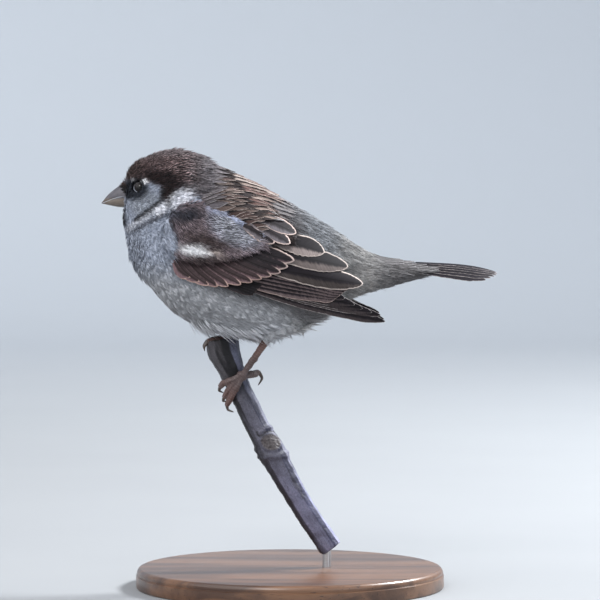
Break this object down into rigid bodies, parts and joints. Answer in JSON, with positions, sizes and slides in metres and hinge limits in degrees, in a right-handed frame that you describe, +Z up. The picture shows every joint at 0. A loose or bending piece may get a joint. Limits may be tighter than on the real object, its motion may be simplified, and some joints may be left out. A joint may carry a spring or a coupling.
{
  "type": "perched house sparrow model",
  "caption": "Life-size still model of a male house sparrow with closed wings, perched on a short cut twig that a rod holds over a flat round base.",
  "frame": {"origin": "centre of the stand base's underside, on the floor", "axes": "+Z up, the bird faces -X and its left side faces -Y"},
  "size_m": [0.139, 0.108, 0.1536],
  "materials": {
    "plumage": "soft barbed feathers: grey breast and belly, brown crown and nape, streaked back",
    "wing_feathers": "stiff feathers, dark slate with chestnut and buff edges",
    "tail_feathers": "stiff feathers, dark grey-brown with pale edges",
    "bill": "satin horn, grey above and yellowish below",
    "eye": "polished, near-black brown",
    "leg": "scaly brown-pink skin",
    "claw": "smooth dark horn",
    "bark": "dark lilac-grey bark with pale lenticels",
    "base": "satin dark wood",
    "rod": "brushed"
  },
  "bodies": {
    "root": {"head": "plumage", "neck": "plumage", "trunk": "plumage", "rump": "plumage", "thigh_left": "plumage", "thigh_right": "plumage", "bill_upper": "bill", "bill_lower": "bill", "eye_left": "eye", "eye_right": "eye", "wing_left_primaries": "wing_feathers", "wing_left_secondaries": "wing_feathers", "wing_left_tertials": "wing_feathers", "wing_left_greater_coverts": "wing_feathers", "wing_left_shoulder": "wing_feathers", "wing_left_scapulars": "wing_feathers", "wing_right_primaries": "wing_feathers", "wing_right_secondaries": "wing_feathers", "wing_right_tertials": "wing_feathers", "wing_right_greater_coverts": "wing_feathers", "wing_right_shoulder": "wing_feathers", "wing_right_scapulars": "wing_feathers", "tail": "tail_feathers", "shank_left": "leg", "shank_right": "leg", "foot_left": "leg", "foot_right": "leg", "claw_left_hallux": "claw", "claw_left_inner": "claw", "claw_left_middle": "claw", "claw_left_outer": "claw", "claw_right_hallux": "claw", "claw_right_inner": "claw", "claw_right_middle": "claw", "claw_right_outer": "claw", "perch": "bark", "stand_base": "base", "stand_rod": "rod"}
  },
  "joints": []
}
